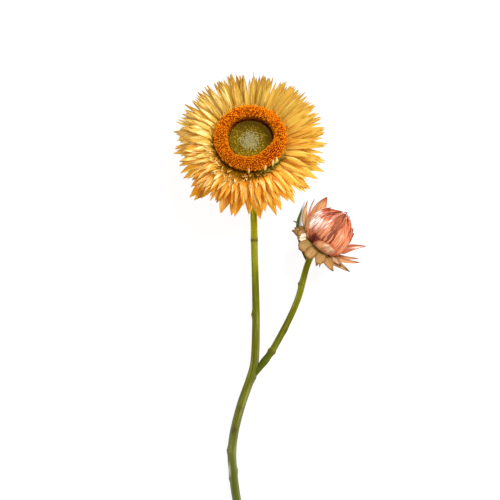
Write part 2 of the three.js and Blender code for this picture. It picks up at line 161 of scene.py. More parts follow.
def draw(i, k):
    """A repeatable draw from 0 to 1 for item i and use k."""
    x = sin(i * 12.9898 + k * 78.233) * 43758.5453
    return x - floor(x)


def swing(i, k):
    """A repeatable draw from -1 to 1."""
    return 2 * draw(i, k) - 1


def mix(a, b, t):
    """From a at 0 to b at 1."""
    return a + (b - a) * t


def ease(t):
    """A smooth step from 0 to 1, level outside them."""
    t = min(max(t, 0.0), 1.0)
    return t * t * (3 - 2 * t)


def bump(x, middle, half):
    """1 at middle, falling to 0 about half away from it."""
    return exp(-(((x - middle) / half) ** 2))


def near(angle, place, half):
    """1 where an angle in degrees is at a place round a head, falling to 0 about half away from it."""
    return bump((angle - place + 180) % 360 - 180, 0, half)


def row_angle(k, row, count):
    """Angle in degrees of item k of a row round a head. Every other row stands in the gaps."""
    return (k + 0.5 * (row % 2)) * 360 / count


def taper(root, widest, power, blunt=1.0):
    """Share of a blade's width along it: root at 0, full at widest, nothing at its point."""

    def share(s):
        if s < widest:
            return mix(root, 1, ease(s / widest))
        return max(0.0, 1 - ((s - widest) / (1 - widest)) ** power) ** blunt

    return share


def head_frame(at, x, z):
    """The frame of a flower head: x and y across it, z out of its face."""
    side, out = x.normalized(), z.normalized()
    turn = Matrix((side, out.cross(side), out)).transposed().to_4x4()
    return Matrix.Translation(at) @ turn


# ---- Meshes ----


def new_mesh():
    """An empty mesh whose blades have a UV map of their own and a tint."""
    bm = bmesh.new()
    bm.loops.layers.uv.new("blade")
    bm.verts.layers.float_color.new("tint")
    return bm


def made_mesh(bm, name):
    """The mesh of bm, which is freed."""
    mesh = bpy.data.meshes.new(name)
    bm.to_mesh(mesh)
    bm.free()
    return mesh


def join(bm, part):
    """Moves all of part into bm."""
    mesh = made_mesh(part, "part")
    bm.from_mesh(mesh)
    bpy.data.meshes.remove(mesh)


def new_object(name, data):
    """A new object in the scene."""
    thing = bpy.data.objects.new(name, data)
    bpy.context.scene.collection.objects.link(thing)
    return thing


def finish_piece(bm, name, node, material, sharp=55):
    """The mesh as a piece of the flower, attached to the root, that stands in for a node whose own part
    is hidden.
    """
    place = Matrix.Scale(0.001, 4) @ Matrix.Translation((-FOOTPRINT_CENTRE[0], -FOOTPRINT_CENTRE[1], 0))
    bmesh.ops.transform(bm, matrix=place, verts=bm.verts)
    mesh = made_mesh(bm, name)
    mesh.shade_smooth()
    mesh.set_sharp_from_angle(angle=radians(sharp))
    mesh.materials.append(material)
    piece = new_object(name, mesh)
    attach(piece, "root")
    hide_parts(node)


def thicken(bm):
    """Gives every blade in bm the thickness of paper and points its faces outwards."""
    grown = bmesh.ops.extrude_face_region(bm, geom=bm.faces[:], use_keep_orig=True)["geom"]
    bm.normal_update()
    for v in [g for g in grown if isinstance(g, bmesh.types.BMVert)]:
        v.co += v.normal * PAPER
    bmesh.ops.recalc_face_normals(bm, faces=bm.faces)


def add_blade(bm, columns, rows, station, tint):
    """Bends a grid into one blade. station(s) gives the place for each share u across, from -1 to 1,
    at the share s along it; tint is its colour attribute, or a function of u and s."""
    tints = bm.verts.layers.float_color["tint"]
    grid = bmesh.ops.create_grid(bm, x_segments=columns, y_segments=rows, size=1, calc_uvs=True)
    places = [station(r / rows) for r in range(rows + 1)]
    tip = []
    for v in grid["verts"]:
        u, row = v.co.x, round((v.co.y + 1) / 2 * rows)
        v[tints] = tint(u, row / rows) if callable(tint) else tint
        v.co = places[row](u)
        if row == rows:
            tip.append(v)
    bmesh.ops.remove_doubles(bm, verts=tip, dist=0.02)


def bract_station(head, angle, radius, height, lean, length, width, fold, twist=0.0, drift=0.0, *,
                  share, seed, rest=0.0, curl=0.0, ripple=0.0, crumple=0.0, roll=0.0, ragged=0.0):
    """The form of one bract. It bends evenly from one lean to the other, where lean 0 is straight out
    from the head's axis and 90 is along it, and its edges are raised by fold. Roll turns all of it
    about its length and twist only its tip. Curl lifts its tip, ripple waves its edges, crumple creases
    all of it and ragged tears its end. It doesn't go below the table."""

    def at(s):
        turn = radians(angle + drift * s * s)
        bend = radians(mix(lean[0], lean[1], s) + curl * s**4)
        out = Vector((cos(turn), sin(turn), 0))
        along = out * cos(bend) + UP * sin(bend)
        face = UP * cos(bend) - out * sin(bend)
        side = face.cross(along)
        rolled = radians(roll * ease(s / 0.25) + twist * s)
        across = side * cos(rolled) + face * sin(rolled)
        return out, along, across, face * cos(rolled) - side * sin(rolled)

    steps = 20
    middle = [UP * height + at(0)[0] * radius]
    for k in range(steps):
        middle.append(middle[-1] + at((k + 0.5) / steps)[1] * (length / steps))

    def station(s):
        _, along, across, normal = at(s)
        k = min(int(s * steps), steps - 1)
        centre = middle[k].lerp(middle[k + 1], s * steps - k)
        half = width / 2 * share(s)
        wave = ripple * half * sin(2 * pi * (1.6 * s + draw(seed, 91)))

        def place(u):
            rise = half * abs(u) ** 1.35 * sin(fold) + wave * u * abs(u) * s
            rise += crumple * s * noise.noise(Vector((u * 1.4, s * 2.6, seed * 3.7)))
            torn = ragged * s**5 * noise.noise(Vector((u * 2.7, 0.4, seed * 1.3)))
            point = head @ (centre + across * (u * half * cos(fold)) + normal * rise + along * torn)
            point.z = max(point.z, rest + ABOVE_TABLE)
            return point

        return place

    return station


def turned(bm, head, profile, steps):
    """A body of revolution about a head's axis, from (radius, height) pairs that start and end on it."""
    corners = [bm.verts.new((r, 0, h)) for r, h in profile]
    edges = [bm.edges.new(pair) for pair in zip(corners, corners[1:])]
    bmesh.ops.spin(bm, geom=corners + edges, cent=(0, 0, 0), axis=(0, 0, 1), angle=2 * pi, steps=steps,
                   use_merge=True)
    bmesh.ops.remove_doubles(bm, verts=bm.verts, dist=0.001)
    bmesh.ops.recalc_face_normals(bm, faces=bm.faces)
    bmesh.ops.transform(bm, matrix=head, verts=bm.verts)


def smooth_route(route, step):
    """Points a step apart on a centripetal curve through the route, with the share at each."""
    points = [Vector(p) for p in route]
    points = [2 * points[0] - points[1], *points, 2 * points[-1] - points[-2]]
    fine = []
    for p0, p1, p2, p3 in zip(points, points[1:], points[2:], points[3:]):
        t0 = 0.0
        t1 = t0 + sqrt((p1 - p0).length)
        t2 = t1 + sqrt((p2 - p1).length)
        t3 = t2 + sqrt((p3 - p2).length)
        for k in range(12):
            t = mix(t1, t2, k / 12)
            a1 = p0.lerp(p1, (t - t0) / (t1 - t0))
            a2 = p1.lerp(p2, (t - t1) / (t2 - t1))
            a3 = p2.lerp(p3, (t - t2) / (t3 - t2))
            b1 = a1.lerp(a2, (t - t0) / (t2 - t0))
            b2 = a2.lerp(a3, (t - t1) / (t3 - t1))
            fine.append(b1.lerp(b2, (t - t1) / (t2 - t1)))
    fine.append(points[-2])
    lengths = [0.0]
    for a, b in zip(fine, fine[1:]):
        lengths.append(lengths[-1] + (b - a).length)
    count = max(2, round(lengths[-1] / step))
    found, k = [], 0
    for n in range(count + 1):
        want = lengths[-1] * n / count
        while k < len(fine) - 2 and lengths[k + 1] < want:
            k += 1
        found.append(fine[k].lerp(fine[k + 1], (want - lengths[k]) / (lengths[k + 1] - lengths[k])))
    return found, lengths[-1]


# ---- Materials ----


def paint(code):
    """A hex colour as linear red, green, blue and alpha."""
    parts = [int(code[k : k + 2], 16) / 255 for k in (1, 3, 5)]
    return [c / 12.92 if c <= 0.04045 else ((c + 0.055) / 1.055) ** 2.4 for c in parts] + [1.0]


def add(tree, kind, values=None, **settings):
    """A shader node. Values are its inputs by name or number: a plain value, or an output to link."""
    node = tree.nodes.new(kind)
    for key, value in settings.items():
        setattr(node, key, value)
    for key, value in (values or {}).items():
        if isinstance(value, bpy.types.NodeSocket):
            tree.links.new(value, node.inputs[key])
        else:
            node.inputs[key].default_value = value
    return node


def calc(tree, operation, *values, clamp=False):
    """The output of a Math node."""
    node = add(tree, "ShaderNodeMath", dict(enumerate(values)), operation=operation, use_clamp=clamp)
    return node.outputs[0]


def blend(tree, share, low, high, mode="MIX"):
    """The output of a colour mix."""
    values = {0: share, 6: low, 7: high}
    return add(tree, "ShaderNodeMix", values, data_type="RGBA", blend_type=mode).outputs[2]


def span(tree, value, low, high, to_low=0.0, to_high=1.0):
    """The output of a smooth map of a value from one range to another."""
    values = {0: value, 1: low, 2: high, 3: to_low, 4: to_high}
    return add(tree, "ShaderNodeMapRange", values, interpolation_type="SMOOTHSTEP").outputs[0]


def speckle(tree, scale, detail, where=None, roughness=0.5):
    """The output of a noise, on Object coordinates where no place is given."""
    if where is None:
        where = add(tree, "ShaderNodeTexCoord").outputs["Object"]
    values = {"Vector": where, "Scale": scale, "Detail": detail, "Roughness": roughness}
    return add(tree, "ShaderNodeTexNoise", values).outputs[0]


def stretched(tree, place, factors):
    """A place with each of its coordinates multiplied."""
    return add(tree, "ShaderNodeVectorMath", {0: place, 1: factors}, operation="MULTIPLY").outputs[0]


def blade_place(tree):
    """Where a point is on its blade: across, along and nothing."""
    return add(tree, "ShaderNodeUVMap", uv_map="blade").outputs[0]


def split_place(tree):
    """How far across and along its blade a point is, each from 0 to 1."""
    return add(tree, "ShaderNodeSeparateXYZ", {0: blade_place(tree)}).outputs[:2]


def split_tint(tree):
    """The red, green, blue and alpha of the tint attribute."""
    tint = add(tree, "ShaderNodeAttribute", attribute_name="tint")
    parts = add(tree, "ShaderNodeSeparateColor", {0: tint.outputs["Color"]})
    return [*parts.outputs, tint.outputs["Alpha"]]


def new_group(name, inputs, outputs):
    """A node group with its sockets, its input node and its output node."""
    tree = bpy.data.node_groups.new(name, "ShaderNodeTree")
    for side, sockets in (("INPUT", inputs), ("OUTPUT", outputs)):
        for label, kind in sockets:
            tree.interface.new_socket(label, in_out=side, socket_type="NodeSocket" + kind)
    return tree, tree.nodes.new("NodeGroupInput"), tree.nodes.new("NodeGroupOutput")


def papery_blade():
    """The colour and relief of a dried blade: root, body, light streaks and tip along it, fine nerves
    lengthwise. The tint attribute holds its brightness, how streaked it is, or below 0 how much painted
    shade it has, how far its tip is browned and how warm it is. Its root colour is also the colour of
    its painted shade."""
    colours = [("Root and shade", "Color"), ("Body", "Color"), ("Warm", "Color"), ("Pale", "Color"), ("Tip", "Color")]
    tree, given, result = new_group(
        "papery blade", colours + [("Nerves", "Float"), ("Depth", "Float"), ("Edge", "Float")],
        [("Color", "Color"), ("Height", "Float")]
    )
    across, along = split_place(tree)
    bright, streaked, browned, warmth = split_tint(tree)
    line = add(tree, "ShaderNodeCombineXYZ", {
        0: calc(tree, "MULTIPLY", across, given.outputs["Nerves"]),
        1: calc(tree, "MULTIPLY", along, 1.6),
        2: calc(tree, "MULTIPLY", bright, 61.0),
    }).outputs[0]
    nerve = speckle(tree, 1.0, 2.0, line, 0.6)
    patch = speckle(tree, 1.0, 1.0, stretched(tree, line, (0.32, 0.7, 1.0)))
    edge = calc(tree, "ABSOLUTE", calc(tree, "SUBTRACT", calc(tree, "MULTIPLY", across, 2.0), 1.0))
    body = blend(tree, warmth, given.outputs["Body"], given.outputs["Warm"])
    pale = calc(tree, "MULTIPLY_ADD", streaked, span(tree, along, 0.3, 0.95, 0.12, 0.3), patch)
    lines = span(tree, nerve, 0.3, 0.7, -1.0, 1.0)
    depth = calc(tree, "MULTIPLY", given.outputs["Depth"], span(tree, streaked, 0.0, 0.8, 0.6, 1.15))
    lit = calc(tree, "MAXIMUM", streaked, 0.0)
    streak = calc(tree, "MULTIPLY", span(tree, pale, 0.6, 0.82), lit, clamp=True)
    streak = calc(tree, "MULTIPLY", streak, calc(tree, "MULTIPLY_ADD", lines, depth, 1.0), clamp=True)
    body = blend(tree, streak, body, given.outputs["Pale"])
    # Darker at the base, partly the blade's own colour and partly painted shade where blades tuck under one
    # another; a tint below 0 paints more shade.
    root = span(tree, along, 0.0, 0.4, 0.5, 0.0)
    shade = calc(tree, "MAXIMUM", calc(tree, "MULTIPLY", streaked, -1.0), root)
    body = blend(tree, shade, body, given.outputs["Root and shade"])
    # Browned tip, and darker edges that are partly browning and partly painted shade between overlapping
    # blades.
    browning_and_edge_shade = calc(tree, "MULTIPLY", span(tree, along, 0.74, 1.0), browned)
    edged = calc(tree, "MULTIPLY", span(tree, edge, 0.5, 1.0), given.outputs["Edge"])
    browning_and_edge_shade = calc(tree, "ADD", browning_and_edge_shade, calc(tree, "MULTIPLY", edged, browned), clamp=True)
    body = blend(tree, browning_and_edge_shade, body, given.outputs["Tip"])
    light = calc(tree, "MULTIPLY", calc(tree, "MULTIPLY_ADD", lines, depth, 0.96),
                 calc(tree, "MULTIPLY_ADD", bright, 0.3, 0.84))
    shaded = add(tree, "ShaderNodeVectorMath", {0: body, "Scale": light}, operation="SCALE").outputs[0]
    tree.links.new(shaded, result.inputs["Color"])
    tree.links.new(nerve, result.inputs["Height"])
    return tree


def plain_material(name, shine):
    """A material with its node tree and its shader, which has a low and even shine."""
    material = bpy.data.materials.new(name)
    material.use_nodes = True
    tree = material.node_tree
    shader = tree.nodes["Principled BSDF"]
    shader.inputs["Specular IOR Level"].default_value = shine
    return material, tree, shader


def surface(tree, shader, colour, height, depth, roughness):
    """Links a varying colour and a relief of that depth in mm, and a roughness that follows it."""
    tree.links.new(colour, shader.inputs["Base Color"])
    relief = add(tree, "ShaderNodeBump", {"Strength": 1.0, "Distance": depth * 0.001, "Height": height})
    tree.links.new(relief.outputs[0], shader.inputs["Normal"])
    values = {0: height, 1: 0.2, 2: 0.8, 3: roughness + 0.1, 4: roughness - 0.1}
    rough = add(tree, "ShaderNodeMapRange", values)
    tree.links.new(rough.outputs[0], shader.inputs["Roughness"])


def bract_material(name, blade, colours, nerves, roughness, glow, edge=0.3, painted_glow=0.1, depth=0.175):
    """A dried bract, from the colours of its root and painted shade, body, warm side, streaks and tip. A
    painted glow, an emission of its own deepened colour, stands in for light that passes into it from
    behind and warms its shaded side."""
    material, tree, shader = plain_material(name, 0.12)
    values = {key: paint(code) for key, code in zip(("Root and shade", "Body", "Warm", "Pale", "Tip"), colours)}
    node = add(tree, "ShaderNodeGroup", node_tree=blade)
    for key, value in {**values, "Nerves": nerves, "Depth": depth, "Edge": edge}.items():
        node.inputs[key].default_value = value
    surface(tree, shader, node.outputs["Color"], node.outputs["Height"], 0.05, roughness)
    # Painted glow: the blade's own colour, deepened, is given off as light.
    painted_glow_colour = blend(tree, 0.8, node.outputs["Color"], node.outputs["Color"], "MULTIPLY")
    tree.links.new(painted_glow_colour, shader.inputs["Emission Color"])
    shader.inputs["Emission Strength"].default_value = painted_glow
    shader.inputs["Subsurface Weight"].default_value = glow
    shader.inputs["Subsurface Radius"].default_value = (1.0, 0.75, 0.35)
    shader.inputs["Subsurface Scale"].default_value = 0.0015
    return material


def floret_material(name, colours, scale):
    """Small florets, from the colours of their painted shade, root, body, mouth and of some of them. The
    tint attribute holds a draw for each floret, how high on it a point is, and how much painted shade it
    has. Their dark root colour is partly their own colour and partly painted shade between them."""
    material, tree, shader = plain_material(name, 0.08)
    painted_shade, low, middle, high, spot = [paint(code) for code in colours]
    chance, high_up, shade, _ = split_tint(tree)
    grain = speckle(tree, scale, 2.0)
    colour = blend(tree, span(tree, high_up, 0.1, 0.8), low, middle)
    colour = blend(tree, span(tree, high_up, 0.7, 1.0), colour, high)
    colour = blend(tree, calc(tree, "MULTIPLY", span(tree, chance, 0.6, 0.9), 0.75), colour, spot)
    colour = blend(tree, shade, colour, painted_shade)
    surface(tree, shader, colour, grain, 0.06, 0.7)
    return material


def bed_material(name, dark, light, scale):
    """The body under bracts or florets, of which only slits show."""
    material, tree, shader = plain_material(name, 0.08)
    grain = speckle(tree, scale, 3.0)
    surface(tree, shader, blend(tree, grain, paint(dark), paint(light)), grain, 0.2, 0.8)
    return material


def stem_material():
    """A ribbed olive stem. The tint attribute holds how far along it a point is, how scarred, how
    green and how bleached."""
    material, tree, shader = plain_material("olive stem", 0.06)
    around, along = split_place(tree)
    down, scarred, greened, bleached = split_tint(tree)
    values = {0: calc(tree, "MULTIPLY", around, 26.0), 1: calc(tree, "MULTIPLY", along, 9.0)}
    fibre = add(tree, "ShaderNodeCombineXYZ", values).outputs[0]
    grain = speckle(tree, 1.0, 3.0, fibre, 0.65)
    band = speckle(tree, 1.0, 1.0, stretched(tree, fibre, (0.3, 0.07, 1.0)))
    blotch = speckle(tree, 140.0, 2.0)
    colour = blend(tree, span(tree, down, 0.1, 0.4), paint("#DED80C"), paint("#6E6C04"))
    layers = [
        (span(tree, down, 0.55, 0.95), "#5A621E"),
        (span(tree, blotch, 0.45, 0.75, 0.0, 0.5), "#7C8018"),
        (span(tree, band, 0.48, 0.68, 0.0, 0.6), "#9A9C4A"),
        (span(tree, band, 0.34, 0.5, 0.65, 0.0), "#555C04"),
        (span(tree, grain, 0.3, 0.55, 0.4, 0.0), "#4E500A"),
        (greened, "#45500A"), (scarred, "#4A3A14"), (bleached, "#CDD0BF"),
    ]
    for share, code in layers:
        colour = blend(tree, share, colour, paint(code))
    surface(tree, shader, colour, grain, 0.1, 0.6)
    return material


def leaf_material():
    """A green leaf with a pale, half transparent edge. The tint attribute holds how pale a point is."""
    material, tree, shader = plain_material("green leaf", 0.2)
    nerve = speckle(tree, 1.0, 2.0, stretched(tree, blade_place(tree), (9.0, 2.0, 1.0)))
    pale = split_tint(tree)[0]
    green = blend(tree, nerve, paint("#3E5604"), paint("#6A8420"))
    membrane = blend(tree, nerve, paint("#BFC0CE"), paint("#E2E2EC"))
    surface(tree, shader, blend(tree, pale, green, membrane), nerve, 0.05, 0.55)
    return material


# ---- Heads ----

tilt = radians(BLOOM_TILT)
bloom = head_frame(BLOOM_AT, Vector((1, 0, 0)), Vector((0, sin(tilt), cos(tilt))))
heading, lift = radians(BUD_HEADING), radians(BUD_LIFT)
bud_axis = Vector((cos(heading) * cos(lift), sin(heading) * cos(lift), sin(lift)))
bud = head_frame(BUD_AT, UP - bud_axis * UP.dot(bud_axis), bud_axis)


def plant(bm, template, matrix, chance, shade, low, high):
    """Joins a copy of a small template to bm. Its tint attribute holds a draw, its height between low
    and high, and how much painted shade it has."""
    tints = bm.verts.layers.float_color["tint"]
    before = len(bm.verts)
    bm.from_mesh(template)
    bm.verts.ensure_lookup_table()
    grown = bm.verts[before:]
    for v in grown:
        v[tints] = (chance, min(max((v.co.z - low) / (high - low), 0), 1), shade, 1)
    bmesh.ops.transform(bm, matrix=matrix, verts=grown)


def open_floret():
    """A six-lobed tube with a hollow mouth, standing on z = 0."""
    bm = new_mesh()
    bmesh.ops.create_cone(bm, cap_ends=True, segments=6, radius1=0.17, radius2=0.33, depth=1.1,
                          matrix=Matrix.Translation((0, 0, 0.55)))
    top = [f for f in bm.faces if f.calc_center_median().z > 1.0]
    bmesh.ops.inset_region(bm, faces=top, thickness=0.12, depth=-0.16)
    return made_mesh(bm, "open floret")


def closed_floret():
    """A plump bud with a blunt point, on z = 0."""
    bm = new_mesh()
    bmesh.ops.create_icosphere(bm, subdivisions=1, radius=0.27)
    bmesh.ops.scale(bm, vec=(0.86, 0.86, 1.7), verts=bm.verts)
    return made_mesh(bm, "closed floret")


def standing(head, place, normal, size, spin):
    """The matrix that stands a template on a place of a head along a normal."""
    turn = normal.to_track_quat("Z", "Y").to_matrix().to_4x4()
    return head @ Matrix.Translation(place) @ turn @ Matrix.Rotation(spin, 4, "Z") @ Matrix.Scale(size, 4)


# ---- Bloom ----

GOLD = taper(0.34, 0.5, 2.1)
SHARP_GOLD = taper(0.4, 0.4, 1.45)

# Short pale bracts that stand over the ring's lower edge, and two that curl up: angle, leans, length,
# width, curl. They share one tint.
ODD_BRACTS = [
    (-45, 74, 98, 7.4, 1.5, 10), (-51, 80, 104, 6.9, 1.3, -10), (-66, 76, 100, 6.6, 1.2, 0),
    (-92, 72, 98, 6.5, 0.8, 10), (-69, 30, -4, 9.6, 2.6, 150), (-79, 34, 8, 8.6, 2.4, 130),
]
ODD_TINT = (0.9, 1.0, 0.2, 0.3)


def low_right_of(angle):
    """1 at the lower right of the bloom, where its bracts are broad, smooth and bright."""
    return near(angle, -35, 38)


def golden_bract(i, angle, age):
    """Root, lean and size of a golden bract by the side it is on and its age: 0 is the innermost, 1 the
    outermost. They are slimmer at the top and the right than at the bottom."""
    high = sin(radians(angle))
    narrow = cos(radians(angle - 140))
    slim = mix(1.0, 0.64, ease(0.5 + 0.75 * sin(radians(angle + 20))))
    slim *= 1 - 0.38 * ease(-1.3 * high) * ease((0.72 - age) / 0.2)
    broad = ease((age - 0.3) / 0.35)
    slim *= mix(1, mix(0.7, 1.5, broad), low_right_of(angle))
    smooth = ease(0.5 + 0.8 * cos(radians(angle + 35)))
    lifted = 5 * high - 1.2 * high**2 + 2.5 * swing(i, 2)
    return {
        "angle": angle,
        "radius": mix(12.9, 9.6, age),
        "height": mix(0.1, -2.3, age),
        "lean": (mix(50, 6, age**0.9) + lifted * 0.4, mix(22, -5, age**0.8) + lifted * 1.3),
        "length": (mix(8.5, 21, sqrt(age)) - high + 1.3 * abs(high)) * (1 + 0.06 * swing(i, 3)),
        "width": mix(2.4, 4.5, age**0.8) * (1 - 0.22 * high + 0.12 * swing(i, 4)) * slim,
        "fold": (0.24 + 0.2 * narrow + 0.1 * swing(i, 5)) * (1 - 0.8 * smooth),
        "twist": 14 * swing(i, 6) * (1 - 0.5 * smooth),
        "drift": 4 * swing(i, 7),
        "curl": 12 * swing(i, 8) * (1 - 0.5 * smooth),
        "ripple": 0.35,
        "crumple": 0.5 * (1 - 0.7 * smooth),
        "share": SHARP_GOLD if broad * low_right_of(angle) > 0.3 else GOLD,
        "seed": i,
    }


def golden_tint(form, inner):
    """The tint of a golden bract by the side it is on, whose brightness, streaks and warmth are painted
    light and shade. It has painted shade near the ring, at the left and below. Inner is 1 for a bract close
    to the ring, whose tip stays light."""
    i, angle, length, (root, tip) = (form[key] for key in ("seed", "angle", "length", "lean"))
    side = radians(angle)
    left = ease(0.5 - 0.6 * cos(side - radians(15)))
    top = ease(1.4 * sin(side) - 0.2)
    low = ease(-1.2 * sin(side))
    low_right, low_left = near(angle, -45, 34), near(angle, -110, 45)
    # Painted light and shade by side: brighter at the right and the lower right, darker at the top and
    # below, streaked with painted highlights at the left, warmer at the lower left.
    bright = draw(i, 51) * (1 - 0.7 * low_left) * (1 - 0.4 * low_right) + 0.75 * low_right
    bright += 0.12 * max(0.0, cos(side))
    bright += left * (0.19 + 0.5 * (draw(i, 54) - 0.5))
    bright -= 0.22 * top + 0.16 * low * (1 - low_right)
    streaked = min(1.0, 0.22 + 0.5 * left + 0.05 * top + 0.25 * inner * low - 0.2 * low_left * (1 - inner))
    browned = (0.35 + 0.4 * top + 0.4 * left) * (0.5 + 0.9 * draw(i, 52)) * (1 - 0.8 * inner)
    browned = min(browned * (1 - 0.6 * low_right), 1.0)
    warmth = 0.47 - 0.4 * sin(side) - 0.36 * left + 0.35 * low_left - 0.42 * low_right
    warmth += 0.5 * (draw(i, 53) - 0.5) - 0.15 * max(0.0, cos(side - radians(30)))
    # Painted shade near the ring, most at the lower left and none at the upper right, where the light comes
    # from.
    shaded = ease(0.5 - 0.9 * cos(side - radians(50)))

    def tint(u, s):
        bend = radians(mix(root, tip, s / 2))
        reach, rise = form["radius"] + length * s * cos(bend), form["height"] + length * s * sin(bend)
        # How far from the head's middle a point looks from above: painted shade covers the blade where it
        # looks close to the ring.
        seen = hypot(reach * cos(side), reach * sin(side) + rise * sin(tilt))
        dark = ease((17.6 + 2.8 * low_left - seen) / 3.8) * (1 - inner * ease((s - 0.7) / 0.2))
        outer = 0.2 * left * (1 - inner) * ease((s - 0.5) / 0.4)
        shown = mix(streaked * (1 - outer), -shaded, dark)
        return bright, shown, browned, min(max(warmth, 0.0) + outer, 1.0)

    return tint


def golden_bracts(material):
    """The bracts of the spiral, slimmer ones between them, and short ones in tiers below the ring."""
    bm = new_mesh()
    forms = []
    for i in range(GOLDEN_BRACTS):
        age, angle = i / (GOLDEN_BRACTS - 1), i * GOLDEN_ANGLE + 5 * swing(i, 1)
        if draw(i, 9) < 0.75 * ease((age - 0.5) / 0.2) * low_right_of(angle):
            continue
        forms.append((golden_bract(i, angle, age), max(0.0, 1 - 1.5 * age)))
    for k in range(SLIM_BRACTS):
        i, angle = SLIM_ITEMS + k, k * GOLDEN_ANGLE + 31 + 6 * swing(k, 101)
        upper = ease(0.6 + 0.7 * sin(radians(angle + 20)))
        if draw(i, 102) > mix(0.65, 0.85, upper) * (1 - 0.55 * low_right_of(angle)):
            continue
        age = mix(mix(0.1, 0.25, upper), mix(0.66, 1.0, upper), sqrt(draw(i, 103)))
        form = golden_bract(i, angle, age)
        form["width"] *= mix(0.75, 1.05, draw(i, 104))
        form["height"] += 0.5 * swing(i, 105)
        forms.append((form, 0.4))
    for k in range(SHORT_BRACTS):
        i = SHORT_ITEMS + k
        depth = 0.38 + 0.62 * draw(i, 106) if k > 24 else 0.15
        angle = 234 + 68 * swing(i, 107) * (0.55 + 0.45 * draw(i, 108)) if k > 36 else k * 10
        form = golden_bract(i, angle, 0.2)
        form["radius"], form["height"] = 13.3 - 2.2 * depth, 0.3 - 0.9 * depth
        form["lean"] = (mix(52, 22, depth) + 6 * swing(i, 109), mix(38, 12, depth) + 22 * swing(i, 110))
        form["length"] = mix(4.2, 13.0, depth) * (1 + 0.12 * swing(i, 111))
        form["width"] = mix(1.3, 2.8, draw(i, 112))
        form["twist"], form["drift"] = 34 * swing(i, 115), 13 * swing(i, 116)
        form["fold"] = 0.5 + 0.2 * swing(i, 113)
        form["curl"] = 22 + 34 * swing(i, 114)
        forms.append((form, 1.0))
    for k, (angle, root, tip, length, width, curl) in enumerate(ODD_BRACTS):
        form = golden_bract(ODD_ITEMS + k, angle, 0.2)
        form |= {"radius": 14.3, "height": 0.5, "lean": (root, tip)}
        form |= {"length": length, "width": width, "curl": curl}
        forms.append((form, None))
    for start in range(0, len(forms), BRACT_BATCH):
        part = new_mesh()
        for form, inner in forms[start : start + BRACT_BATCH]:
            tint = ODD_TINT if inner is None else golden_tint(form, inner)
            add_blade(part, 4, 8, bract_station(bloom, **form), tint)
        join(bm, part)
    thicken(bm)
    finish_piece(bm, "golden_bracts", "bloom_bracts", material)


def receptacle(material):
    """The body that the golden bracts grow from."""
    bm = new_mesh()
    rim, low, deck = RECEPTACLE_RIM, RECEPTACLE_FLOOR, RECEPTACLE_DECK
    edge = [(rim - 1.6, -1.5), (rim + 0.1, 0.1), (rim - 1.1, deck)]
    turned(bm, bloom, [(0, low), (COLLAR_RADIUS, low), *edge, (0, deck)], steps=48)
    finish_piece(bm, "receptacle", "bloom_bracts", material)


def ring_fringe(material):
    """Fine bracts that stand close to the ring, at its lower right."""
    bm = new_mesh()
    for i in range(FRINGE_ITEMS, FRINGE_ITEMS + FRINGE_BRACTS):
        angle = -54 + 34 * swing(i, 1) * (0.4 + 0.6 * draw(i, 2))
        lean = (62 + 12 * swing(i, 4), 80 + 26 * swing(i, 5))
        station = bract_station(
            bloom, angle, 14.4 + 0.5 * swing(i, 3), 0.4, lean, 3.9 + 1.3 * swing(i, 6),
            0.62 + 0.25 * swing(i, 7), 0.4, share=GOLD, curl=30 * swing(i, 8), seed=i,
        )
        add_blade(bm, 2, 6, station, (draw(i, 9), 0.5 * draw(i, 10), draw(i, 11) ** 2, draw(i, 12)))
    thicken(bm)
    finish_piece(bm, "ring_fringe", "bloom_bracts", material)


def back_scales(material):
    """Short scales that overlap like tiles from the stem outwards, on the back of the bloom."""
    bm = new_mesh()
    for row, count in enumerate(BACK_ROWS):
        step = row * 0.7
        for k in range(count):
            i = BACK_ITEMS + 20 * row + k
            station = bract_station(
                bloom, row_angle(k, row, count) + 5 * swing(i, 11), 2.6 + 1.9 * step,
                COLLAR_FOOT + 0.3 + 0.6 * step, (8 - 4 * step, 3 - 2 * step + 3 * swing(i, 12)),
                5.6 + 0.9 * step + 0.5 * swing(i, 13), 2.7 + 0.8 * step, 0.14 + 0.05 * swing(i, 15),
                6 * swing(i, 14), share=taper(0.8, 0.55, 3.0, 0.8), curl=-10 * draw(i, 16),
                ripple=0.15, seed=i,
            )
            add_blade(bm, 4, 7, station, (draw(i, 17), 0.4 * draw(i, 18), 0.9, draw(i, 19)))
    thicken(bm)
    finish_piece(bm, "back_scales", "bloom_back_scales", material)


def back_collar(material):
    """The body under the back scales, from the stem to the receptacle."""
    bm = new_mesh()
    top = RECEPTACLE_FLOOR - 0.3
    profile = [(0, COLLAR_FOOT), (COLLAR_FOOT_RADIUS, COLLAR_FOOT), (COLLAR_RADIUS - 2.2, top - 0.9),
               (COLLAR_RADIUS - 0.6, top), (0, top)]
    turned(bm, bloom, profile, steps=40)
    finish_piece(bm, "back_collar", "bloom_back_scales", material)


RING_PROFILE = [
    (RING_INNER, 1.0), (RING_INNER + 0.1, 2.4), (RING_INNER + 0.3, 3.6), (RING_INNER + 0.9, 4.9),
    (RING_INNER + 1.9, 5.75), ((RING_INNER + RING_OUTER) / 2 + 0.9, RING_CREST),
    (RING_OUTER - 0.8, 5.6), (RING_OUTER, 4.6), (RING_OUTER - 0.4, 3.4), (RING_OUTER - 1.3, 2.2),
    (RING_OUTER - 2.2, 1.2),
]


def hole_shift(angle):
    """How far the ring stands into its hole in mm, most at the lower right."""
    turn = degrees(angle)
    shift = 2.0 * near(turn, -45, 34) + 1.0 * near(turn, -95, 30) + 0.35 * near(turn, 190, 30)
    return shift - 0.3 * near(turn, 40, 30)


def into_hole(v):
    """Moves a point of the ring in or out with the wall of its hole."""
    r, angle = hypot(v.x, v.y), atan2(v.y, v.x)
    moved = r - hole_shift(angle) * ease((RING_OUTER - 1.0 - r) / 3.4)
    return Vector((moved * cos(angle), moved * sin(angle), v.z))


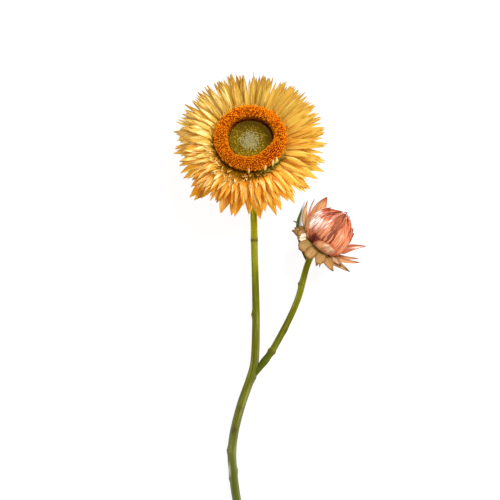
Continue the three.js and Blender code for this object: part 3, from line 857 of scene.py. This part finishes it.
def ring_bed(material):
    """The body of the ring, half a floret below its skin."""
    bm = new_mesh()
    middle = (RING_INNER + RING_OUTER) / 2
    inset = [(mix(r, middle, 0.16), 0.9 + (h - 0.9) * 0.88) for r, h in RING_PROFILE]
    corners = [bm.verts.new((r, 0, h)) for r, h in inset]
    edges = [bm.edges.new(pair) for pair in zip(corners, corners[1:] + corners[:1])]
    bmesh.ops.spin(bm, geom=corners + edges, cent=(0, 0, 0), axis=(0, 0, 1), angle=2 * pi, steps=64,
                   use_merge=True)
    bmesh.ops.recalc_face_normals(bm, faces=bm.faces)
    for v in bm.verts:
        v.co = into_hole(v.co)
    bmesh.ops.transform(bm, matrix=bloom, verts=bm.verts)
    finish_piece(bm, "ring_bed", "open_florets", material)


def ring_florets(material):
    """Open florets all over the ring, in rings of their own that stand outwards from its skin."""
    bm = new_mesh()
    template = open_floret()
    spots, left = [], 0.4
    for (r1, h1), (r2, h2) in zip(RING_PROFILE, RING_PROFILE[1:]):
        reach = hypot(r2 - r1, h2 - h1)
        while left <= reach:
            share = left / reach
            spots.append((mix(r1, r2, share), mix(h1, h2, share), (-(h2 - h1) / reach, (r2 - r1) / reach)))
            left += FLORET_ROW_STEP
        left -= reach
    number = 0
    for row, (r, h, (out, up)) in enumerate(spots):
        count = round(2 * pi * r / FLORET_SPACING)
        part = new_mesh()
        for k in range(count):
            number += 1
            angle = (k + 0.5 * (row % 2) + 0.34 * swing(number, 31)) * 2 * pi / count
            normal = Vector((out * cos(angle), out * sin(angle), up + 0.3)).normalized()
            normal = (normal + Vector([0.26 * swing(number, use) for use in (32, 33, 34)])).normalized()
            sunk = 0.68 + 0.3 * swing(number, 35)
            place = into_hole(Vector((r * cos(angle), r * sin(angle), h))) - normal * sunk
            # Painted shade on the wall of the hole at the top and the right, which faces away from the
            # light, and a little more towards the lower left of the ring.
            painted_shade = ease((5.4 - h) / 2.6) * ease(0.55 + 0.8 * cos(angle - radians(65))) if out < 0 else 0.0
            painted_shade += 0.09 * (1 - cos(angle - radians(60)))
            size = 0.69 + 0.18 * swing(number, 36)
            matrix = standing(bloom, place, normal, size, 6 * draw(number, 37))
            plant(part, template, matrix, draw(number, 38), 0.95 * painted_shade, low=0.25, high=1.1)
        join(bm, part)
    bpy.data.meshes.remove(template)
    finish_piece(bm, "ring_florets", "open_florets", material, sharp=40)


def centre_height(r):
    """Height of the hollowed centre at a distance from its axis."""
    share = r / CENTRE_RADIUS
    return CENTRE_RIM - CENTRE_DIP * (1 - share**2)


def centre_bed(material):
    """The body under the closed florets."""
    bm = new_mesh()
    seat = RECEPTACLE_DECK + 0.3
    radii = [8.4, 7.2, 6.0, 4.8, 3.6, 2.4, 1.2]
    profile = [(0, seat), (CENTRE_RADIUS, seat), (CENTRE_RADIUS, CENTRE_RIM - 0.4)]
    profile += [(r, centre_height(r) - 0.25) for r in radii] + [(0, centre_height(0) - 0.25)]
    turned(bm, bloom, profile, steps=48)
    finish_piece(bm, "centre_bed", "closed_florets", material)


def centre_florets(materials):
    """Closed florets in the spirals of the disc: olive outside, pale towards the middle."""
    for which, material in enumerate(materials):
        bm = new_mesh()
        template = closed_floret()
        for start in range(0, CENTRE_FLORETS, FLORET_BATCH):
            part = new_mesh()
            for k in range(start, start + FLORET_BATCH):
                share = (k + 0.5) / CENTRE_FLORETS
                pale = ease((0.3 - share + 0.14 * swing(k, 41)) / 0.24)
                r, angle = (CENTRE_RADIUS - 0.15) * sqrt(share), k * radians(GOLDEN_ANGLE)
                if (pale > draw(k, 42)) != (which == 1) or r > RING_INNER - 0.2 - hole_shift(angle):
                    continue
                lean = Vector((-0.18 * cos(angle), -0.18 * sin(angle), 1))
                lean = (lean + 0.25 * Vector((swing(k, 46), swing(k, 47), 0))).normalized()
                height = centre_height(r) - 0.1 + 0.14 * swing(k, 43)
                place = Vector((r * cos(angle), r * sin(angle), height))
                size = mix(0.78, 0.84, sqrt(share)) * (1 + 0.15 * swing(k, 44)) * (1.1 if which else 1.0)
                # Painted shadow of the ring's wall on the upper right of the disc.
                shaded = 0.8 * ease((r - 4.4) / 3.4) * ease(0.45 + 0.8 * cos(angle - radians(48)))
                matrix = standing(bloom, place, lean, size, 0)
                plant(part, template, matrix, draw(k, 45), shaded, low=-0.2, high=0.4)
            join(bm, part)
        bpy.data.meshes.remove(template)
        name = ("centre_florets", "centre_florets_pale")[which]
        finish_piece(bm, name, "closed_florets", material, sharp=80)


# ---- Bud ----


def bud_radius(share):
    """Radius of the closed bud at a share of its length."""
    return max(0.0, BUD_RADIUS * (1 - abs(share - BUD_WIDEST) ** 2.3 * 2.0) + 0.5 * share)


def hugging_station(angle, reach, width, off, twist, flare, dish, seed, start=0.0, creases=0.0,
                    share=GOLD):
    """The form of a bract that lies on the round of the bud and follows it to its free tip. Dish from
    0 to 1 turns it from ridged to channelled."""

    def station(s):
        along = mix(start, reach, s)
        radius = bud_radius(along) * (1 - 0.1 * max(0.0, sin(radians(angle))) ** 2 * ease(along / 0.6))
        radius += off + flare * s**3
        half = width / 2 * share(s) / max(bud_radius(along), 2.4)
        turn = radians(angle + twist * s)

        def place(u):
            fold = creases * sin(u * 6.5 + 5 * draw(seed, 92) + 2 * s) * (1 - 0.4 * s)
            fold += creases * noise.noise(Vector((u * 2.2, s * 4.0, seed * 2.9)))
            r = radius + mix(0.36 * (1 - abs(u) ** 1.5), 0.42 * abs(u) ** 1.5, dish) + fold
            x, y = r * cos(turn + u * half), r * sin(turn + u * half)
            sway = 1.8 * max(0.0, along) ** 2.4
            point = bud @ Vector((x + sway, y, along * BUD_LENGTH - 0.2))
            point.z = max(point.z, ABOVE_TABLE)
            return point

        return place

    return station


def bud_tint(i, angle):
    """Nearly white at the upper left, dark and light streaks beside it, salmon on the right, with
    painted shade at the roots."""
    pale = ease((cos(radians(angle - 308)) - 0.6) / 0.25)
    dark = ease((cos(radians(angle - 358)) - 0.8) / 0.14)
    warm = ease(0.5 + 0.8 * cos(radians(angle - 60)))
    right = ease((cos(radians(angle - 75)) - 0.4) / 0.4)
    streaks = (0.4 + 0.6 * draw(i, 64)) * (1 - 0.45 * right)
    if draw(i, 66) < 0.7 * dark:
        streaks = -0.8
    bright = draw(i, 61) * (1 - 0.4 * dark) + 0.3 * right
    browned = (0.15 + 0.6 * draw(i, 62)) * (1 - 0.1 * (i // 40))

    def tint(u, s):
        whitened = 1.6 * pale * (1 - 0.8 * ease((s - 0.6) / 0.25)) * (1 - 0.75 * dark)
        shown = (streaks + whitened) * (1 - 0.45 * ease((s - 0.72) / 0.2))
        # Painted shade near the root, stronger beside the pale and dark streaks.
        streaked = mix(-0.5 * max(pale, dark) - 0.5, shown, ease((s - 0.08 - 0.16 * dark) / 0.28))
        return bright, streaked, browned, min(1.0, 0.1 + warm * 0.8)

    return tint


def bud_bracts(material):
    """Pink bracts that close over one another, with their free tips and two loose ones."""
    bm = new_mesh()
    for row, (count, reach, width, off, flare) in enumerate(BUD_ROWS):
        for k in range(count):
            i = 40 * row + k
            angle = row_angle(k, row, count) + 11 * swing(i, 21)
            station = hugging_station(
                angle, reach * (1 + 0.06 * swing(i, 22)), width * (1 + 0.2 * swing(i, 23)),
                off + 0.12 * swing(i, 24), 12 * swing(i, 25), flare * (1 + 0.9 * swing(i, 26)),
                creases=0.24, dish=draw(i, 27), seed=i,
            )
            add_blade(bm, 10, 12, station, bud_tint(i, angle))
    for k, (angle, reach, width, flare) in enumerate(FREE_TIPS):
        station = hugging_station(angle, reach, width, 0.5, 6 * swing(k, 28), flare, start=0.3, dish=1.0,
                                  share=taper(0.5, 0.4, 1.6), seed=80 + k)
        add_blade(bm, 6, 10, station, (0.4, 0.1, 1.0, 0.7))
    for k, (angle, root, tip, length, width, roll) in enumerate(LOOSE_BRACTS):
        station = bract_station(bud, angle, 7.4, 1.2, (root, tip), length, width, 0.25,
                                share=taper(0.7, 0.2, 1.2), crumple=0.3, roll=roll, seed=k)
        add_blade(bm, 6, 12, station, (0.2, 0.85, 0.9, 0.2))
    thicken(bm)
    finish_piece(bm, "salmon_bracts", "bud_bracts", material)


def bud_heart(material):
    """The body inside the bud's bracts."""
    bm = new_mesh()
    profile = [(0, -0.5)]
    profile += [(bud_radius(k / 9) - 1.1, k / 9 * BUD_LENGTH - 0.5) for k in range(9)]
    profile.append((0, BUD_LENGTH * 0.9))
    turned(bm, bud, profile, steps=32)
    finish_piece(bm, "bud_heart", "bud_bracts", material)


def torn_off(s):
    """Width of a scale with a broad torn end."""
    return mix(0.72, 1.0, ease(s / 0.5)) * (1 - 0.5 * ease((s - 0.55) / 0.45))


# How the width of an outer bract runs along it.
BRACT_FORMS = {
    "round": taper(0.7, 0.55, 3.0, 0.6), "square": torn_off, "point": taper(0.8, 0.36, 1.6),
    "spear": taper(1.0, 0.2, 1.15), "long": taper(0.8, 0.4, 1.5),
}


def ruff_bracts(material):
    """Tan scales round the foot of the bud."""
    bm = new_mesh()
    for i, (angle, root, tip, length, width, roll, form, pale, bright, warm) in enumerate(RUFF):
        station = bract_station(
            bud, angle, BUD_COLLAR_RADIUS - 0.4, BUD_COLLAR_RIM - 0.25 + 0.15 * (i % 2), (root, tip),
            length, width, 0.2 + 0.14 * swing(i, 32), 8 * swing(i, 33), share=BRACT_FORMS[form],
            rest=0.02, ripple=0.2, crumple=0.8, roll=roll, ragged=2.0 if form == "square" else 0.6,
            seed=RUFF_ITEMS + i,
        )
        add_blade(bm, 10, 12, station, (bright, pale, 1.0, warm))
    thicken(bm)
    finish_piece(bm, "ruff_bracts", "bud_outer_bracts", material)


def foot_scales(material):
    """Small scales that overlap from the stem outwards, on the back of the bud's foot."""
    bm = new_mesh()
    for row, (count, radius, height, width) in enumerate(FOOT_ROWS):
        for k in range(count):
            i = FOOT_ITEMS + 20 * row + k
            station = bract_station(
                bud, row_angle(k, row, count) + 6 * swing(i, 11), radius, height,
                (22, 30 + 6 * swing(i, 12)), 3.0 + 0.4 * swing(i, 13), width, -0.2, 8 * swing(i, 14),
                share=BRACT_FORMS["round"], rest=0.02, ripple=0.2, crumple=0.3, ragged=0.5, seed=i,
            )
            add_blade(bm, 4, 6, station, (0.5 * draw(i, 17), 0.3 * draw(i, 18), 1.0, draw(i, 19)))
    thicken(bm)
    finish_piece(bm, "foot_scales", "bud_outer_bracts", material)


def ruff_collar(material):
    """The body under the ruff and the foot scales, from the branch to the bud."""
    bm = new_mesh()
    foot, rim, wide = BUD_COLLAR_FOOT, BUD_COLLAR_RIM, BUD_COLLAR_RADIUS
    profile = [(0, foot), (BUD_COLLAR_FOOT_RADIUS, foot), (wide - 1.2, rim - 1.3), (wide, rim), (0, rim)]
    turned(bm, bud, profile, steps=40)
    finish_piece(bm, "ruff_collar", "bud_outer_bracts", material)


def bud_sepals(material):
    """Peach sepals: two lie against the bud, the others stand out from its foot."""
    bm = new_mesh()
    broad = taper(0.85, 0.45, 2.4, 0.9)
    for k, (angle, reach, width, twist) in enumerate(SEPALS):
        station = hugging_station(angle, reach, width, 1.1 + 0.15 * k, twist, 0.3, creases=0.1, dish=0.3,
                                  share=broad, seed=60 + k)
        add_blade(bm, 10, 12, station, (0.5 + 0.5 * k, 0.2 + 0.35 * k, 0.35 + 0.5 * k, 0.5))
    for k, (angle, root, tip, length, width, radius, height, roll) in enumerate(PEACH_BRACTS):
        share = taper(0.75, 0.4, 1.9) if width > 3 else taper(1.0, 0.3, 1.6)
        station = bract_station(bud, angle, radius, height, (root, tip), length, width, 0.2, share=share,
                                crumple=0.35, roll=roll, seed=90 + k)
        add_blade(bm, 8, 14, station, (0.4, 0.5, 1.0, 0.2))
    thicken(bm)
    finish_piece(bm, "bud_sepals", "bud_bracts", material)


# ---- Stem ----


def stalk(bm, route, radius_at, nodes, step, sides, paint_at):
    """A ribbed stem along its route: a ring that is pushed out again and again along it."""
    tints, uvs = bm.verts.layers.float_color["tint"], bm.loops.layers.uv["blade"]
    points, total = smooth_route(route, step)
    first = ring = bmesh.ops.create_circle(bm, segments=sides, radius=1.0, cap_ends=False)["verts"]
    side = UP
    places = {}
    for n, centre in enumerate(points):
        share = n / (len(points) - 1)
        along = total * n / (len(points) - 1)
        ahead = (points[min(n + 1, len(points) - 1)] - points[max(n - 1, 0)]).normalized()
        side = (side - ahead * side.dot(ahead)).normalized()
        other = ahead.cross(side)
        if n:
            edges = {e for v in ring for e in v.link_edges if e.other_vert(v) in ring}
            grown = bmesh.ops.extrude_edge_only(bm, edges=list(edges))["geom"]
            ahead_of = {}
            for v in [g for g in grown if isinstance(g, bmesh.types.BMVert)]:
                old = next(e.other_vert(v) for e in v.link_edges if e.other_vert(v) in ring)
                ahead_of[old] = v
            ring = [ahead_of[v] for v in ring]
        for k, v in enumerate(ring):
            turn = 2 * pi * k / sides
            out = side * cos(turn) + other * sin(turn)
            radius = radius_at(share, along) + 0.05 * cos(9 * turn) + 0.02 * cos(5 * turn + along * 0.3)
            for place, height, way, half in nodes:
                facing = max(0.0, out.dot(Vector(way).normalized())) if way else 1.0
                radius += height * facing * bump(along, place, half)
            point = centre + out * radius
            point.z = max(point.z, 0.0)
            v.co = point
            v[tints] = paint_at(share, along, out)
            places[v] = (k / sides, along / 10)
    for loop_ring in (first, ring):
        bmesh.ops.contextual_create(bm, geom=loop_ring)
    for f in bm.faces:
        for loop in f.loops:
            if loop.vert in places:
                loop[uvs].uv = places[loop.vert]


def stem_tint(share, along, out):
    """How far down the stem a point is, and how scarred, how green and how bleached it is there."""
    left, right, upper = max(0.0, -out.x), max(0.0, out.x), max(0.0, out.z)
    scar = 0.8 * bump(along, 37.5, 0.45) + 0.8 * bump(along, 67.3, 0.7) * left
    scar += 0.5 * bump(along, 105.7, 0.9) * upper**2 + 0.4 * bump(along, 92.3, 1.2) * right
    scar += 0.85 * bump(along, 115.0, 1.4) * max(0.0, 0.9 * out.z - 0.3 * out.x) ** 2
    scar += 0.7 * bump(along, 134.0, 0.7) * left
    green = 0.9 * bump(along, 125.8, 1.9) * left + 0.4 * bump(along, 90.0, 3.0) * right
    green += 0.45 * ease((along - 45) / 25) * bump(out.x, -0.25, 0.42)
    bleached = 0.95 * bump(along, 130.8, 2.0) * ease(1.7 * -out.x - 0.5)
    bleached += 0.18 * ease((along - 95) / 25) * ease(1.5 * left - 0.4)
    bleached += 0.12 * ease((along - 60) / 25) * ease(1.8 * right - 0.5)
    return share, min(scar, 1), min(green, 1), min(bleached, 1)


def branch_tint(share, along, out):
    """The same for the branch."""
    scar = 0.8 * bump(along, 24.2, 0.8) * max(0.0, 0.8 * out.x + 0.4 * out.z)
    scar += 0.8 * bump(along, 44.1, 0.6) * max(0.0, -out.x) + 0.4 * bump(along, 14.4, 0.4)
    green = (0.5 + 0.5 * max(0.0, -out.x)) * ease((15.4 - along) / 2.4) + 0.3 * bump(out.x, -0.25, 0.4)
    return mix(0.5, 0.25, share), min(scar, 1), min(green, 1), 0.0


def stem_and_branch(material):
    """The main stem, which widens into the bloom and towards its cut end, and the branch of the bud."""
    bm, branch = new_mesh(), new_mesh()

    def stem_radius(share, along):
        return mix(*STEM_RADII, ease((share - 0.25) / 0.45)) + 0.7 * exp(-along / 1.6) - SKIN

    def branch_radius(share, along):
        return mix(*BRANCH_RADII, share) - SKIN

    stalk(bm, STEM_ROUTE, stem_radius, STEM_NODES, STEM_STEP, sides=20, paint_at=stem_tint)
    stalk(branch, BRANCH_ROUTE, branch_radius, BRANCH_NODES, STEM_STEP, sides=18, paint_at=branch_tint)
    join(bm, branch)
    bmesh.ops.recalc_face_normals(bm, faces=bm.faces)
    finish_piece(bm, "stem_and_branch", "stem", material, sharp=60)


def leaf(material):
    """The one small leaf that is left, channelled, on the branch just under the bud, with a small hook
    that stands off it."""
    bm = new_mesh()
    points, _ = smooth_route(LEAF_ROUTE, 1.0)
    share = taper(0.5, 0.45, 2.4)

    def station(s):
        x = s * (len(points) - 1)
        k = min(int(x), len(points) - 2)
        centre = points[k].lerp(points[k + 1], x - k)
        ahead = (points[k + 1] - points[k]).normalized()
        across = UP.cross(ahead).normalized()
        normal = ahead.cross(across)
        half = LEAF_WIDTH / 2 * share(s)
        return lambda u: centre + across * (u * half) + normal * (abs(u) ** 1.3 * half * 0.5)

    def pale(u, s):
        return max(ease((-0.05 - u) / 0.3), ease((s - 0.82) / 0.1)), 0, 0, 1

    add_blade(bm, 8, 20, station, pale)
    foot, hook = Vector((19.4, 10.0, 2.9)), Vector((17.3, 11.6, 4.2))

    def hook_station(s):
        centre = foot.lerp(hook, s) + Vector((0, 0.5 * sin(pi * s), 0))
        return lambda u: centre + Vector((0.3, 0.4, 0.2)) * (u * 0.8 * (1 - 0.6 * s))

    add_blade(bm, 2, 5, hook_station, (0.15, 0, 0, 1))
    thicken(bm)
    finish_piece(bm, "leaf", "stem", material)


# ---- The flower ----

blade = papery_blade()
# The first colour of each bract material is its root colour, which is also its painted shade.
golden = bract_material("golden bract", blade, ("#865808", "#CFA745", "#E0901E", "#FFEFA2", "#AC741E"),
                        5.0, 0.42, 0.45, painted_glow=0.23, depth=0.2)
fringe = bract_material("fringe bract", blade, ("#3E440C", "#6E7622", "#9A8A24", "#D8CC6A", "#F0DC70"),
                        5.0, 0.5, 0.2)
straw = bract_material("straw scale", blade, ("#7A5A1E", "#C79A4E", "#B98A3C", "#E6CF96", "#7A4A1C"),
                       12.0, 0.6, 0.1, 0.6)
salmon = bract_material("salmon bract", blade, ("#7C3828", "#BE6848", "#EE9A6C", "#FFE8DA", "#A23422"),
                        5.0, 0.45, 0.15, 0.8, painted_glow=0.18, depth=0.34)
tan = bract_material("tan outer bract", blade, ("#76682C", "#B08E58", "#BC8650", "#F4DCC0", "#7C4A20"),
                     6.0, 0.6, 0.15, 0.65, painted_glow=0.16, depth=0.24)
sepal = bract_material("peach sepal", blade, ("#8A602E", "#CE9464", "#DA9C6C", "#F4D0AC", "#AE482C"),
                       5.0, 0.5, 0.12, 0.6, painted_glow=0.14, depth=0.3)
# The first colour of each floret material is that of its painted shade.
orange = floret_material("orange floret", ("#6A1E00", "#A22200", "#F67800", "#FFB414", "#C24200"), 2500.0)
olive = floret_material("olive floret", ("#4E3602", "#4E3602", "#94700C", "#B8981A", "#E6CC3C"), 3000.0)
pale = floret_material("pale floret", ("#9E9258", "#9E9258", "#BEB480", "#D8D2A6", "#C2B26A"), 3000.0)

# The receptacle's amber stands for the shade in the slits between the bracts: painted shade.
receptacle(bed_material("bract roots", "#7A4C08", "#B87A18", 900.0))
golden_bracts(golden)
ring_fringe(fringe)
back_collar(bed_material("back of the bloom", "#6A5420", "#A07C38", 700.0))
back_scales(straw)
ring_bed(bed_material("floret roots", "#6A1400", "#9A2E00", 1500.0))
ring_florets(orange)
centre_bed(bed_material("disc", "#3A2A04", "#6A5010", 1800.0))
centre_florets([olive, pale])
bud_heart(bed_material("bud heart", "#7A2E1C", "#B8603C", 900.0))
bud_bracts(salmon)
bud_sepals(sepal)
ruff_collar(bed_material("bud foot", "#5A5018", "#8E7838", 900.0))
ruff_bracts(tan)
foot_scales(tan)
stem_and_branch(stem_material())
leaf(leaf_material())

# ---- Table, light and camera ----


def lay_table():
    """The table, just under the flower. It is so evenly lit that only shadows show on it."""
    bm = bmesh.new()
    bmesh.ops.create_grid(bm, x_segments=1, y_segments=1, size=TABLE_HALF_SIDE)
    mesh = made_mesh(bm, "table")
    material, tree, shader = plain_material("pale table", 0.1)
    grain = speckle(tree, 3.0, 2.0)
    tree.links.new(blend(tree, grain, paint("#7A7A7A"), paint("#7C7C7C")), shader.inputs["Base Color"])
    shader.inputs["Roughness"].default_value = 0.9
    shader.inputs["Emission Color"].default_value = (1, 1, 1, 1)
    shader.inputs["Emission Strength"].default_value = TABLE_GLOW
    mesh.materials.append(material)
    table = new_object("table", mesh)
    table.location.z = -TABLE_DROP


def hang_light(name, azimuth, elevation, distance, size, power, colour):
    """A round light that shines on the middle of the frame."""
    data = bpy.data.lights.new(name, "AREA")
    data.shape, data.size, data.energy, data.color = "DISK", size, power, colour
    lamp = new_object(name, data)
    a, e = radians(azimuth), radians(elevation)
    way = Vector((cos(a) * cos(e), sin(a) * cos(e), sin(e)))
    lamp.location = way * distance
    lamp.rotation_mode = "QUATERNION"
    lamp.rotation_quaternion = way.to_track_quat("Z", "Y")


lay_table()
for light in LIGHTS:
    hang_light(*light)

world = bpy.data.worlds.new("studio")
bpy.context.scene.world = world
world.use_nodes = True
sky = world.node_tree.nodes["Background"]
sky.inputs["Color"].default_value = (1, 1, 1, 1)
sky.inputs["Strength"].default_value = WORLD_LIGHT
bpy.context.scene.view_settings.view_transform = "Standard"
bpy.context.scene.view_settings.look = "None"

lens = bpy.data.cameras.new("camera")
camera = new_object("camera", lens)
bpy.context.scene.camera = camera
camera.location = MIDDLE + UP * DISTANCE
lens.sensor_width = SENSOR
lens.lens = SENSOR * DISTANCE / FIELD
lens.clip_start, lens.clip_end = 0.1, 20.0
